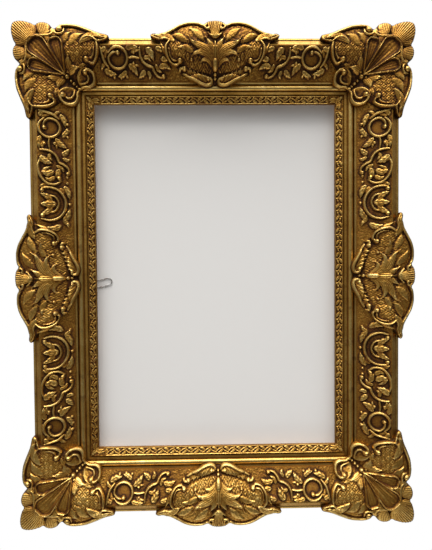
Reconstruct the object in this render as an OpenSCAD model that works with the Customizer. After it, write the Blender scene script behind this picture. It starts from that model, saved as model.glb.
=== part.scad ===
// Swept rococo picture frame: four mitred gilt rails, a carved slip round the sight opening,
// shell corners and centre cartouches that overhang the outer edge, and scroll panels between them.
// Millimetres, Z up, X to the right. The frame faces -Y and its back lies in the plane Y = 0.
// The origin is the middle of the sight opening in the back plane.

/* [Sight opening] */
// Width of the opening the picture shows through
open_w = 492; // [440:1:700]
// Height of the opening the picture shows through
open_h = 704; // [560:1:1000]

/* [Moulding] */
// Width of a rail from the sight edge to its outer bead
rail_w = 124; // [120:1:134]
// Height of the crest above the back
crest_h = 60; // [54:1:72]
// Height of the sight edge above the back
sight_h = 18; // [16:0.5:21]
// Width of the ledge the picture rests against
lap_w = 7; // [5:0.5:9]
// Depth of the rebate from the back to that ledge
rebate_d = 14; // [10:0.5:14]
// Radius of the large bead beside the slip
bead_r = 5.5; // [4.6:0.1:6]
// Radius of the outer bead
edge_r = 3.8; // [3:0.1:4.4]
// Glue line left at each mitre, measured square to the joint on either side
glue_gap = 0.1; // [0.05:0.05:0.3]

/* [Slip] */
// Width of the carved slip
slip_w = 15.4; // [12:0.2:15.6]
// Thickness of the carved slip at its back edge
slip_t = 4.5; // [3:0.1:6]
// Length of each arm of the leaf that covers a slip mitre
leaf_len = 15; // [8:0.5:24]

/* [Castings] */
// Gap left between a casting and the rails it is glued to
bed_gap = 0.2; // [0.1:0.05:0.4]
// Extra height of all castings above the moulding
relief = 9; // [7:0.5:14]
// Height of the raised rim of a casting
rim_h = 3.2; // [1:0.2:5]
// Height of the ridges between the hollow petals of a corner shell
petal_h = 5; // [2:0.5:8]
// Depth of the diaper fields below the body of a casting
field_d = 2.6; // [1:0.2:3.4]
// Height of the ribs on the outer lobes of a corner shell
lobe_rib = 1.2; // [0.4:0.2:2]
// Angle between two neighbouring petals
petal_step = 27; // [24:1:30]
// Swell of a cartouche under its bud and fronds
spray_h = 3; // [1:0.5:5]
// Radius of the C ridges on a casting
ridge_r = 2.8; // [2:0.1:3.4]
// Radius of the fronds of a cartouche
frond_r = 2.2; // [1.6:0.1:2.8]
// Steps between two outline points of a casting
outline_steps = 2; // [2:1:3]

/* [Scroll panels] */
// Thickness of the granular ground of a panel
ground_t = 2; // [1.5:0.1:3]
// Radius of the scroll strand
strand_r = 2.2; // [1.6:0.1:3]
// Radius of the ball eye at the end of a scroll
eye_r = 3.4; // [2.6:0.1:4]

/* [Picture clips] */
// Radius of the clip wire
wire_r = 0.95; // [0.7:0.05:1.2]
// Length of a clip from its screw to its tip
clip_len = 50; // [40:1:60]
// Shoulder radius of the clip screw
clip_hub_r = 6.2; // [5:0.1:7]
// Distance of the clip screw from the sight edge
clip_in = 20; // [18:0.5:26]
// Distance of the left clip screw below the middle of the rail
clip_drop = 19; // [0:1:30]
// Angle the left clip points upwards as it stands
clip_tilt = 13.5; // [0:0.5:30]

/* [Hangers] */
// Height of the hanger rings above the middle of the frame
hang_z = 215; // [150:1:240]
// Distance of the hangers from the sight edge
hang_in = 72; // [60:1:85]
// Radius of the hanger ring wire
ring_r = 1.6; // [1.2:0.1:2]
// Middle radius of the hanger ring
ring_major = 12; // [10:0.5:15]
// Thickness of the hanger strap
strap_t = 1.5; // [1:0.1:2]

/* [Hidden] */
part_slack = 0.05;
panel_in = 42;
panel_out = rail_w - 18;
panel_base = 33;
panel_tilt = atan((crest_h - panel_base) / (panel_out - panel_in));
panel_len = (panel_out - panel_in) / cos(panel_tilt);
seat_slope = 6 / 16;
// Rail width that the outlines and scrolls of the castings are written for
drawn_rail_w = 124;
fit = rail_w / drawn_rail_w;
shell_focus = 51.5 * fit;
shell_mid = 60 * fit;
crest_w = 2;
ridge_foot = 5;
edge_u = rail_w - edge_r;
edge_drop = 14;
edge_h = crest_h - edge_drop;
nail_len = 9;
nail_clear = 0.2;
gilt = [0.76, 0.58, 0.25];
old_gilt = [0.66, 0.49, 0.2];
steel = [0.62, 0.62, 0.6];
brass = [0.7, 0.6, 0.32];

// Half length of the sight edge on side k: 0 top, 1 right, 2 bottom, 3 left
function half_len(k) = (k % 2 == 0 ? open_w : open_h) / 2;

// Turns a shape drawn as along, outward, height into its place on side k
module on_side(k) {
    rotate([0, 90 * k, 0])
        translate([0, 0, half_len(k + 1)])
            rotate([90, 0, 0])
                children();
}

// Turns a shape drawn outward, outward, height into its place on corner k: 0 top right, 1 bottom right
module on_corner(k) {
    rotate([0, 90 * k, 0])
        translate([half_len(k), 0, half_len(k + 1)])
            rotate([90, 0, 0])
                children();
}

// Moves a shape from the height frame of a side onto its sloping panel
module on_panel(k) {
    on_side(k)
        translate([0, panel_in, panel_base])
            rotate([panel_tilt, 0, 0])
                children();
}

// Extrudes a cross-section of outward and height along a side
module along(len, low = 0) {
    translate([low == 0 ? -len / 2 : low, 0, 0])
        rotate([90, 0, 90])
            linear_extrude(len)
                children();
}

// Plan of a mitred piece between two distances from the sight edge
module mitre_plan(half, from_u, to_u, cut) {
    linear_extrude(200, center = true)
        polygon([[-half - from_u + cut, from_u], [half + from_u - cut, from_u],
            [half + to_u - cut, to_u], [-half - to_u + cut, to_u]]);
}

// Rails

// Cross-section of the moulding without its beads
module rail_section() {
    polygon([
        [0, rebate_d], [0, sight_h], [16, sight_h + 16 * seat_slope], [16, sight_h + 4], [18, sight_h + 4],
        [18, sight_h + 9], [23, sight_h + 9], [24, sight_h + 7.5], [37, sight_h + 7.5],
        [38, panel_base - 1.5], [panel_in, panel_base - 1.5], [panel_in, panel_base],
        [panel_out, crest_h], [panel_out + crest_w, crest_h],
        [edge_u - 3, crest_h - 8], [edge_u - 3, edge_h], [edge_u, edge_h], [rail_w - 7, 0],
        [lap_w, 0], [lap_w, rebate_d]]);
}

// One mitred rail with its two beads, its screw holes and its nail slots
module rail(k) {
    half = half_len(k);
    color(gilt)
    difference() {
        on_side(k)
            intersection() {
                union() {
                    along(2 * half + 2 * rail_w + 10) rail_section();
                    along(2 * half + 2 * rail_w + 10)
                        translate([31, sight_h + 8.5])
                            circle(bead_r, $fn = 48);
                    along(2 * half + 2 * rail_w + 10)
                        translate([edge_u, edge_h])
                            circle(edge_r, $fn = 48);
                }
                mitre_plan(half, -1, rail_w + 1, glue_gap);
            }
        on_clip(k)
            cylinder(r = 2 + part_slack, h = 30, center = true, $fn = 24);
        if (k % 2 == 1)
            on_hanger(k)
                strap_holes(1.7 + part_slack, 30);
        nail_set(0.15, nail_clear);
    }
}

// Slip

// Cross-section of the carved slip, its foot on the sloping seat
module slip_section(lift) {
    back = 0.3 + slip_w;
    polygon([
        [0.3, sight_h + 0.3 * seat_slope], [back, sight_h + back * seat_slope],
        [back, sight_h + back * seat_slope + slip_t - 1 + lift],
        [back - 2, sight_h + back * seat_slope + slip_t + lift],
        [back * 0.55, sight_h + back * seat_slope + slip_t - 1.6 + lift],
        [back * 0.2, sight_h + slip_t + lift * 0.8],
        [0.3, sight_h + slip_t - 2.2 + lift * 0.5]]);
}

// Straight carved slip, stopped short of the leaves at both ends
module slip(k) {
    half = half_len(k);
    run = half - leaf_len - 0.2;
    color(old_gilt)
    on_side(k)
        along(2 * run) slip_section(0);
}

// Leaf bent round a corner of the slip, made of two mitred arms
module slip_leaf(k) {
    color(gilt)
    on_corner(k)
        for (m = [0, 1])
            mirror([m, -m, 0])
                intersection() {
                    along(leaf_len + 20, -leaf_len) slip_section(1.4);
                    linear_extrude(120)
                        polygon([[-leaf_len, -2], [-2, -2], [20, 20], [20, 24], [-leaf_len, 24]]);
                }
}

// Castings

// Point on a smooth closed curve through the list p, at step s of n after point i
function on_curve(p, i, s) =
    let (n = len(p), a = p[(i + n - 1) % n], b = p[i], c = p[(i + 1) % n], d = p[(i + 2) % n])
    0.5 * (2 * b + (c - a) * s + (2 * a - 5 * b + 4 * c - d) * s * s
        + (3 * b - a - 3 * c + d) * s * s * s);

// Whole closed curve through the list p
function curve(p) =
    [for (i = [0 : len(p) - 1], s = [0 : outline_steps - 1]) on_curve(p, i, s / outline_steps)];

// The same curve grown by g away from the point c
function grown(p, c, g) = [for (q = p) q + (q - c) * g / norm(q - c)];

// The castings are written for a rail of drawn_rail_w and scaled by fit to the rail
// Right half of the cartouche outline as along, outward, from the shell crest round to the inner scroll
cartouche_half = [
    [9, 158], [17, 156], [22.5, 151.5], [31, 156], [45, 157.5], [57, 155.5], [70, 150.5], [82, 143],
    [97, 133.5], [111, 129.5], [124, 130], [127, 124], [117, 117.5], [107.5, 108], [105, 95], [98, 82],
    [87, 71], [77, 66], [70, 56], [59, 48.5], [49, 43.5], [38, 38], [27, 31.5], [17, 28.5], [8, 31]];
cartouche_outline = fit * concat([[0, 158.5]], cartouche_half, [[0, 36]],
    [for (i = [len(cartouche_half) - 1 : -1 : 0]) [-cartouche_half[i][0], cartouche_half[i][1]]]);
cartouche_mid = fit * [0, 96];

// Half of the corner outline, from the inner notch along one rail and out to the corner tip
shell_half = [
    [15, 26.5], [4, 26.5], [-5, 32], [-9, 43], [-7, 54], [-1, 61.5], [-8, 69.5], [-15.5, 80],
    [-18.5, 93], [-18.5, 107], [-22, 117], [-33, 124], [-33, 131], [-14, 136.5], [5, 144], [25, 151],
    [46, 153], [61, 150], [71, 142.5], [80, 151.5], [92, 155], [102, 152.5], [108, 148.5], [118, 155],
    [134, 158], [146, 156.5]];
shell_outline = fit * concat([[23, 23]], shell_half, [[153, 153]],
    [for (i = [len(shell_half) - 1 : -1 : 0]) [shell_half[i][1], shell_half[i][0]]]);

// Height of the smooth body of a casting above the back at a distance out from the sight edge
function body_h(u) =
    let (top = crest_h + relief - 1, rise = max(0, min(u, panel_out) - 26) / (panel_out - 26))
    u < panel_out
        ? 30.5 + relief + (top - 30.5 - relief) * (0.5 - 0.5 * cos(180 * pow(rise, 0.9)))
        : top - 24 * pow((u - panel_out) / (52 * fit), 1.6);

// Height of the underside, buried in the rail and free beyond its outer edge
function under_h(u) = u < rail_w ? 22 : 22 + 0.46 * (u - rail_w);

// Bump that is 1 at x = at and fades to 0 over the width w
function bump(x, at, w) = abs(x - at) >= w ? 0 : 0.5 + 0.5 * cos(180 * (x - at) / w);

// Relief of the cartouche: raised rim, sunk field for the diaper, swell under the spray and the crown
function cartouche_relief(f, t, u) =
    rim_h * bump(f, 0.88, 0.16) - (f < 0.8 ? field_d : 0)
    + spray_h * bump(t / fit, 0, 26) * bump(u / fit, 84, 52)
    + 3 * bump(t / fit, 0, 14) * bump(u / fit, 152, 26)
    - 3.5 * bump(f, 1, 0.1);

// Relief of the corner: hollow petals between ridges that fan out from the focus, ribbed outer lobes,
// raised rim and sunk diaper fields
function shell_relief(f, a, b) =
    let (da = a - shell_focus, db = b - shell_focus, r = norm([da, db]) / fit, q = atan2(db, da) - 45,
        fan = abs(q) < 1.62 * petal_step && da + db > 0 ? 1 : 0,
        ridge = 0.5 - 0.5 * cos(360 * q / petal_step))
    fan * (petal_h * ridge * bump(r, 50, 40) + 2.4 * bump(r, 76, 16))
    + fan * lobe_rib * cos(1080 * q / petal_step) * bump(r, 106, 24)
    - (1 - fan) * (f < 0.8 ? field_d : 0) + rim_h * bump(f, 0.88, 0.15)
    + 3 * bump(r, 0, 16) - 3.5 * bump(f, 1, 0.1);

// Solid between a relief front and an underside, on rings that shrink towards the point c
module casting(outline, c, rings, kind) {
    p = curve(outline);
    n = len(p);
    m = len(rings);
    spot = [for (f = rings, q = p) c + (q - c) * f];
    front = [for (i = [0 : m - 1], j = [0 : n - 1])
        let (s = spot[i * n + j], f = rings[i])
        [s[0], s[1], kind == "shell"
            ? body_h(max(s[0], s[1])) + shell_relief(f, s[0], s[1])
            : body_h(s[1]) + cartouche_relief(f, s[0], s[1])]];
    back_rings = [1, 0.7];
    back = [for (f = back_rings, q = p)
        let (s = c + (q - c) * f, u = kind == "shell" ? max(s[0], s[1]) : s[1])
        [s[0], s[1], under_h(u)]];
    cap = [[c[0], c[1], kind == "shell"
        ? body_h(c[0]) + shell_relief(0, c[0], c[1])
        : body_h(c[1]) + cartouche_relief(0, c[0], c[1])]];
    foot = [[c[0], c[1], under_h(c[1])]];
    fn = n * m;
    bn = fn + n * len(back_rings);
    polyhedron(
        points = concat(front, back, cap, foot),
        faces = concat(
            [for (i = [0 : m - 2], j = [0 : n - 1]) let (k = (j + 1) % n)
                each [[i * n + j, i * n + k, (i + 1) * n + k], [i * n + j, (i + 1) * n + k, (i + 1) * n + j]]],
            [for (j = [0 : n - 1]) let (k = (j + 1) % n) [(m - 1) * n + j, (m - 1) * n + k, bn]],
            [for (j = [0 : n - 1]) let (k = (j + 1) % n)
                each [[fn + j, fn + k, k], [fn + j, k, j]]],
            [for (i = [0 : len(back_rings) - 2], j = [0 : n - 1]) let (k = (j + 1) % n)
                each [[fn + (i + 1) * n + j, fn + (i + 1) * n + k, fn + i * n + k],
                    [fn + (i + 1) * n + j, fn + i * n + k, fn + i * n + j]]],
            [for (j = [0 : n - 1]) let (k = (j + 1) % n)
                [bn + 1, fn + (len(back_rings) - 1) * n + k, fn + (len(back_rings) - 1) * n + j]]));
}

// Cross-section of the rail grown by the glue gap, which castings are cut back to
module bed_section() {
    g = bed_gap;
    polygon([[-30, -10], [-30, panel_base + g], [panel_in - g, panel_base + g], [panel_out - g, crest_h + g],
        [panel_out + crest_w + g, crest_h + g], [edge_u - 2, crest_h - 8 + g],
        [rail_w + g, edge_h + edge_r * 0.8 + g], [rail_w + g, -10]]);
}

// Raised C ridge of a casting: part of a ring from angle a to angle b, leaning with the body,
// with a foot that reaches down into it
module ridge(x, y, r, a, b, lean, w = ridge_r) {
    translate([x * fit, y * fit, body_h(y * fit)])
        rotate([lean, 0, 0])
            rotate([0, 0, a])
                rotate_extrude(angle = b - a, $fn = 36)
                    translate([r * fit, 0]) {
                        circle(w, $fn = 12);
                        translate([-w * 0.7, -ridge_foot])
                            square([w * 1.4, ridge_foot]);
                    }
}

// Straight tapered rib of a casting from p to q, its radius going from v to w, with the same foot
module rib(p, q, v, w) {
    from = [p[0] * fit, p[1] * fit, body_h(p[1] * fit)];
    run = [q[0] * fit, q[1] * fit, body_h(q[1] * fit)] - from;
    translate(from)
        rotate([0, acos(run[2] / norm(run)), atan2(run[1], run[0])]) {
            cylinder(r1 = v, r2 = w, h = norm(run), $fn = 16);
            translate([0, -w * 0.7, 0])
                cube([ridge_foot, w * 1.4, norm(run)]);
        }
}

// Ball eye that a ridge curls round, let down by sink where the body is sunk
module eye(x, y, r, sink = 0) {
    translate([x * fit, y * fit, body_h(y * fit) + r * 0.35 - sink])
        sphere(r, $fn = 20);
}

// Scroll lobe over the beads, C ridge of the wing and ball of the outer rim, for one half of a corner
module shell_scrolls() {
    ridge(8, 46, 13, -70, 200, 20);
    eye(11, 57, eye_r);
    ridge(4, 93, 21, 140, 258, 11);
    eye(7, 76, eye_r + 0.6);
    eye(59, 140, eye_r + 1.6);
}

// String of beads on the diagonal of a corner, between the focus of the shell and the sight edge
module shell_beads() {
    for (bead = [[47.5, 3.8], [42, 2.7], [37, 3.2], [31.8, 2.6]])
        eye(bead[0], bead[0], bead[1], field_d / 2);
}

// C ridge, ball eyes, inner rim and fronds for one half of a cartouche
module cartouche_scrolls() {
    ridge(76, 96, 27.5, -97, 22, 13);
    eye(70, 77, eye_r + 0.6);
    eye(62, 63, eye_r + 0.6);
    ridge(20, 42, 10, -160, 20, 14);
    rib([24, 34.5], [60, 51], frond_r, frond_r);
    ridge(22, 72, 23, 50, 162, 20, frond_r);
    eye(36.8, 89.6, frond_r + 0.8);
    ridge(26, 80, 23.3, 92, 166, 14, frond_r);
    ridge(14, 125, 24.5, -63, -7, -12, frond_r);
}

// Bud, stem and ribbed crown on the middle line of a cartouche
module cartouche_bud() {
    eye(0, 61, 4);
    rib([0, 61], [0, 86], 4.4, 2.6);
    rib([0, 86], [0, 112], 2.6, 1.6);
    eye(0, 51, 3);
    for (x = [-12, -6, 0, 6, 12])
        rib([x * 0.45, 134], [x, 155], 1.5, 2.4);
}

// Shell corner: two scroll lobes over the beads, a palmette fan and a lobed outer edge
module corner_shell(k) {
    color(gilt)
    on_corner(k)
        difference() {
            union() {
                casting(shell_outline, [shell_mid, shell_mid], [1, 0.94, 0.86, 0.74, 0.56, 0.32], "shell");
                for (m = [0, 1])
                    mirror([m, -m, 0])
                        shell_scrolls();
                shell_beads();
            }
            for (m = [0, 1])
                mirror([m, -m, 0])
                    intersection() {
                        along(260, -80) bed_section();
                        linear_extrude(300, center = true)
                            polygon([[-80, -80], [-80, 180], [180, 180]]);
                    }
        }
}

// Centre cartouche: two lobes and a shell over the outer edge, two scrolls over the inner bead
module cartouche(k) {
    color(gilt)
    on_side(k)
        difference() {
            union() {
                casting(cartouche_outline, cartouche_mid, [1, 0.94, 0.86, 0.72, 0.52, 0.28], "cartouche");
                for (m = [0, 1])
                    mirror([m, 0, 0])
                        cartouche_scrolls();
                cartouche_bud();
            }
            along(300) bed_section();
        }
}

// Scroll panels

// C scroll lying on the ground: a strand from angle a to angle b with a ball eye at each end
module c_scroll(x, y, r, a, b, ball) {
    translate([x, y, ground_t]) {
        rotate([0, 0, a])
            rotate_extrude(angle = b - a, $fn = 48)
                translate([r, 0])
                    circle(strand_r, $fn = 20);
        for (q = [a, b])
            translate([(r - ball * 0.5) * cos(q), (r - ball * 0.5) * sin(q), 0])
                sphere(ball, $fn = 24);
    }
}

// Scrolls of a long and of a short panel beside the ring next to the corner, each as distance from the
// ring, distance up the panel, radius, start angle and end angle
long_scrolls = [[-90, 36, 27, 20, 190], [-155, 34, 28, 100, 330]];
short_scrolls = [[-52, 42, 16, 60, 300]];

// Granular ground between a corner and a cartouche, with its scrolls, on the sloping panel
// k is the side, w is 1 for the half towards the next corner and -1 for the other
module scroll_panel(k, w) {
    half = half_len(k);
    ring_t = half - 56;
    gap = 0.3;
    color(old_gilt)
    difference() {
        on_panel(k) {
            translate([w > 0 ? 34 : -half - 36, 1.5, 0])
                cube([half + 2, panel_len - 3, ground_t]);
            scale([w, 1, 1]) {
                c_scroll(ring_t, 40, 20, -200, 100, eye_r);
                for (s = k % 2 == 1 ? long_scrolls : short_scrolls)
                    c_scroll(ring_t + s[0], s[1], s[2], s[3], s[4], eye_r);
                translate([ring_t - 36, 38, 0])
                    cube([17, 2.6, ground_t + 1.4]);
                for (x = [ring_t + 22, half - 136], y = [8, 58])
                    translate([x, y, ground_t])
                        sphere(eye_r, $fn = 24);
            }
        }
        on_panel(k)
            translate([-half - 40, -10, -10])
                cube([2 * half + 80, panel_len + 20, 10]);
        on_side(k)
            linear_extrude(140)
                polygon(grown(curve(cartouche_outline), cartouche_mid, gap));
        on_corner(w > 0 ? k : (k + 3) % 4)
            linear_extrude(140)
                polygon(grown(curve(shell_outline), [shell_mid, shell_mid], gap));
    }
}

// Picture clips

// Frame of the clip screw on side k, its axis square to the back and the clip along X
module on_clip(k) {
    on_side(k)
        translate([k == 3 ? -clip_drop : 0, clip_in, 0])
            children();
}

// Wire loop that turns about its screw to hold the picture
module clip(k) {
    mid = clip_hub_r + part_slack + wire_r;
    run = clip_len - mid - wire_r;
    turn = k == 3 ? -90 + clip_tilt : 0;
    color(steel)
    on_clip(k)
        rotate([0, 0, turn])
            translate([0, 0, -1.3]) {
                for (e = [0, 1])
                    translate([e * run, 0, 0])
                        rotate([0, 0, e == 0 ? 90 : -90])
                            rotate_extrude(angle = 180, $fn = 48)
                                translate([mid, 0])
                                    circle(wire_r, $fn = 20);
                for (s = [-1, 1])
                    translate([0, s * mid, 0])
                        rotate([0, 90, 0])
                            cylinder(r = wire_r, h = run, $fn = 20);
            }
}

// Broad-headed shoulder screws of the clips
module clip_screw_set() {
    color(brass)
    for (k = [0 : 3])
        on_clip(k) {
            translate([0, 0, -2.6]) cylinder(r = clip_hub_r, h = 2.6, $fn = 48);
            translate([0, 0, -4]) cylinder(r = clip_hub_r + 2.4, h = 1.4, $fn = 48);
            cylinder(r = 2, h = 13, $fn = 24);
        }
}

// Hangers

// Frame of a hanger on the back of side k, with the ring hanging along -Y of the drawing
module on_hanger(k) {
    rotate([0, 90 * k, 0])
        translate([0, 0, half_len(k + 1) + hang_in])
            rotate([90, 0, 0])
                translate([k == 1 ? -hang_z : hang_z, 0, 0])
                    rotate([0, 0, k == 1 ? 90 : -90])
                        children();
}

// Pair of screw holes of a strap
module strap_holes(r, h) {
    for (y = [12, 26])
        translate([0, y, 0])
            cylinder(r = r, h = h, center = true, $fn = 24);
}

// Strap plate with a rolled eye that carries the ring
module hanger_strap(k) {
    eye = ring_r + part_slack;
    color(steel)
    on_hanger(k)
        difference() {
            union() {
                translate([-7, 0, -strap_t]) cube([14, 32, strap_t]);
                translate([-7, 0, -eye - strap_t])
                    rotate([0, 90, 0])
                        cylinder(r = eye + strap_t, h = 14, $fn = 40);
            }
            translate([-9, 0, -eye - strap_t])
                rotate([0, 90, 0])
                    cylinder(r = eye, h = 18, $fn = 40);
            strap_holes(2.2, 20);
        }
}

// Ring that hangs from the eye of its strap
module hanger_ring(k) {
    color(steel)
    on_hanger(k)
        translate([0, 0, -ring_r - part_slack - strap_t]) {
            rotate([0, 0, 180])
                rotate_extrude(angle = 180, $fn = 64)
                    translate([ring_major, 0])
                        circle(ring_r, $fn = 24);
            translate([-ring_major, 0, 0])
                rotate([0, 90, 0])
                    cylinder(r = ring_r, h = 2 * ring_major, $fn = 40);
            for (s = [-1, 1])
                translate([s * ring_major, 0, 0])
                    sphere(ring_r, $fn = 24);
        }
}

// Round-headed wood screws of the straps
module hanger_screw_set() {
    color(brass)
    for (k = [1, 3], y = [12, 26])
        on_hanger(k)
            translate([0, y, 0]) {
                translate([0, 0, -strap_t - 2]) cylinder(r = 3.6, h = 2, $fn = 32);
                translate([0, 0, -strap_t - 0.1]) cylinder(r = 1.7, h = strap_t + 12, $fn = 24);
            }
}

// Mitre nails

// Two wedge-shaped nails across the back of every mitre, grown by g and starting behind the back
// by the distance behind
module nail_set(g, behind) {
    for (k = [0 : 3], d = [34, 84])
        on_corner(k)
            translate([d, d, -behind])
                rotate([0, 0, 45])
                    linear_extrude(nail_len + behind + g)
                        polygon([[-4 - g, -6 - g], [-4 + 1.2 + g, -6 - g], [-1.4 + g * 1.4, -0.6],
                            [-1.4 + g * 1.4, 0.6], [-4 + 1.2 + g, 6 + g], [-4 - g, 6 + g],
                            [-2.8 - g * 1.4, 0.6], [-2.8 - g * 1.4, -0.6]]);
}

// Steel nails of the mitres, their heads level with the back
module mitre_nail_set() {
    color(steel)
        nail_set(0, 0);
}

rail(0);  // rail_top
rail(1);  // rail_right
rail(2);  // rail_bottom
rail(3);  // rail_left
slip(0);  // sight_slip_top
slip(1);  // sight_slip_right
slip(2);  // sight_slip_bottom
slip(3);  // sight_slip_left
slip_leaf(0);  // sight_leaf_tr
slip_leaf(1);  // sight_leaf_br
slip_leaf(2);  // sight_leaf_bl
slip_leaf(3);  // sight_leaf_tl
corner_shell(0);  // corner_shell_tr
corner_shell(1);  // corner_shell_br
corner_shell(2);  // corner_shell_bl
corner_shell(3);  // corner_shell_tl
cartouche(0);  // cartouche_top
cartouche(1);  // cartouche_right
cartouche(2);  // cartouche_bottom
cartouche(3);  // cartouche_left
scroll_panel(0, 1);  // scroll_top_right
scroll_panel(0, -1);  // scroll_top_left
scroll_panel(1, 1);  // scroll_right_bottom
scroll_panel(1, -1);  // scroll_right_top
scroll_panel(2, 1);  // scroll_bottom_left
scroll_panel(2, -1);  // scroll_bottom_right
scroll_panel(3, 1);  // scroll_left_top
scroll_panel(3, -1);  // scroll_left_bottom
clip(0);  // clip_top
clip(1);  // clip_right
clip(2);  // clip_bottom
clip(3);  // clip_left
clip_screw_set();  // clip_screws
hanger_strap(3);  // hanger_strap_left
hanger_strap(1);  // hanger_strap_right
hanger_ring(3);  // hanger_ring_left
hanger_ring(1);  // hanger_ring_right
hanger_screw_set();  // hanger_screws
mitre_nail_set();  // mitre_nails
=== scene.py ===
# %% [markdown]
# # A swept gilt picture frame
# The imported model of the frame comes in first. It holds the rails, castings, clips and hangers at
# their real size. Everything made here is the finish of those pieces: carved relief on the
# castings and panels, the running leaf of the slip, worn gold over dark toning, raw wood at the
# back. Each piece rides on a body of the model, so it turns with its joint.

# %% Load the frame
import math
import bpy
import numpy as np
from mathutils import Matrix, Vector


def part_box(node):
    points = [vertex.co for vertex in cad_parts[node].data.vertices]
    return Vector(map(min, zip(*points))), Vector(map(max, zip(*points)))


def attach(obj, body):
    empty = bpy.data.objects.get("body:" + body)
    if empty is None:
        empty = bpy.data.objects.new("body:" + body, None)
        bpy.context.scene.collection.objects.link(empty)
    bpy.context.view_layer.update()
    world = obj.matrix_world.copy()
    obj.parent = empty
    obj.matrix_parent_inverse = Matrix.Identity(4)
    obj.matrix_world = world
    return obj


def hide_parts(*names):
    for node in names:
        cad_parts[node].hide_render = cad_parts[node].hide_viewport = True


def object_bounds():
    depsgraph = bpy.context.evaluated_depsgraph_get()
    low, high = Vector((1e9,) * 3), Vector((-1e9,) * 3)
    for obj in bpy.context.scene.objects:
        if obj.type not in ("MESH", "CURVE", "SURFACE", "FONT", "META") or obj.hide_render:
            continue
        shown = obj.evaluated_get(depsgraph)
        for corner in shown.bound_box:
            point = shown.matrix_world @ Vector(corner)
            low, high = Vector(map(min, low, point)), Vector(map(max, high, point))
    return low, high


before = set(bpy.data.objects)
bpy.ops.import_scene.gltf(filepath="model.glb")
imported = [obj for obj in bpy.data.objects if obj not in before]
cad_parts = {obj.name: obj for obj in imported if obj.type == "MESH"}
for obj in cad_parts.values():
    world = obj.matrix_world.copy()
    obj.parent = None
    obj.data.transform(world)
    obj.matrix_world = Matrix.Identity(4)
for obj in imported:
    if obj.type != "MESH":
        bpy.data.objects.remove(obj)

for name in ("Cube", "Light", "Camera"):
    if name in bpy.data.objects:
        bpy.data.objects.remove(bpy.data.objects[name])
cad_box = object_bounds()
MM = 0.001
HALF_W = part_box("rail_right")[0].x / MM
HALF_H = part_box("rail_top")[0].z / MM
RAIL_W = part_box("rail_top")[1].z / MM - HALF_H
CREST_H = -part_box("rail_top")[0].y / MM
FRONT_H = -cad_box[0].y / MM
SIDES = ("top", "right", "bottom", "left")
CORNERS = ("tr", "br", "bl", "tl")
print("half opening", HALF_W, HALF_H, "rail", RAIL_W, CREST_H, "front", FRONT_H)

# %% [markdown]
# ## Places on the frame
# A rail is drawn once, lying along X with its sight edge at zero, outward as Y and height as Z.
# A matrix then turns it to its side. Side 0 is the top and each next side is a quarter turn on.
# Corners work the same way, with both axes running outward from the corner of the opening.

# %% Matrices that put a side or a corner in its place
def placed(k, across, up):
    """Matrix from drawing millimetres to metres on the frame, for quarter turn k."""
    turn = Matrix.Rotation(math.radians(90 * k), 4, "Y")
    stand = Matrix.Rotation(math.radians(90), 4, "X")
    return Matrix.Scale(MM, 4) @ turn @ Matrix.Translation((across, 0, up)) @ stand


def side_place(k):
    """Matrix of side k, from the middle of its sight edge."""
    return placed(k, 0, HALF_H if k % 2 == 0 else HALF_W)


def corner_place(k):
    """Matrix of the corner at the clockwise end of side k."""
    return placed(k, HALF_W if k % 2 == 0 else HALF_H, HALF_H if k % 2 == 0 else HALF_W)


PANEL_IN = 42
PANEL_OUT = RAIL_W - 18
PANEL_BASE = 33
PANEL_TILT = math.atan2(CREST_H - PANEL_BASE, PANEL_OUT - PANEL_IN)
PANEL_LEN = (PANEL_OUT - PANEL_IN) / math.cos(PANEL_TILT)
print("panel slopes", round(math.degrees(PANEL_TILT), 1), "degrees over", round(PANEL_LEN, 1), "mm")

# %% [markdown]
# ## The carver's board
# The ornament of such a frame is pressed from carved boards, so it is made the same way here: a
# board is a field of points with a height at each, and a few strokes raise or cut it. A stroke
# follows a smooth line, and its cross-section decides whether it becomes a rolled rim, a leaf or
# a groove. Only the higher of two forms shows where they cross, as with real relief.

# %% A board of points and the smooth lines drawn on it
CARVE_STEP = 0.75
SLIP_STEP = 0.78
LEAF_STEP = 0.6


class Board:
    """Points of a board in millimetres, with the relief raised on it so far."""

    def __init__(self, x0, x1, y0, y1, step=CARVE_STEP):
        self.xs = np.linspace(x0, x1, int(round((x1 - x0) / step)) + 1)
        self.ys = np.linspace(y0, y1, int(round((y1 - y0) / step)) + 1)
        self.x, self.y = np.meshgrid(self.xs, self.ys)
        self.r = np.zeros_like(self.x)
        self.step = step

    def window(self, points, reach):
        """Part of the board within reach of the points."""
        low, high = points.min(0) - reach, points.max(0) + reach
        i0, i1 = np.searchsorted(self.xs, (low[0], high[0]))
        j0, j1 = np.searchsorted(self.ys, (low[1], high[1]))
        return slice(j0, j1), slice(i0, i1)

    def raise_to(self, where, height):
        """Lift part of the board to a height, where it isn't higher already."""
        self.r[where] = np.maximum(self.r[where], height)


def smooth_line(keys, steps=8, closed=False):
    """Smooth curve through a few key points."""
    p = np.array(keys, float)
    if closed:
        a, b, c, d = np.roll(p, 1, 0), p, np.roll(p, -1, 0), np.roll(p, -2, 0)
    else:
        q = np.vstack([2 * p[0] - p[1], p, 2 * p[-1] - p[-2]])
        a, b, c, d = q[:-3], q[1:-2], q[2:-1], q[3:]
    out = []
    for i in range(len(b)):
        for s in np.arange(steps) / steps:
            out.append(0.5 * (2 * b[i] + (c[i] - a[i]) * s + (2 * a[i] - 5 * b[i] + 4 * c[i] - d[i]) * s * s
                              + (3 * b[i] - a[i] - 3 * c[i] + d[i]) * s ** 3))
    if not closed:
        out.append(p[-1])
    return np.array(out)


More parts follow.
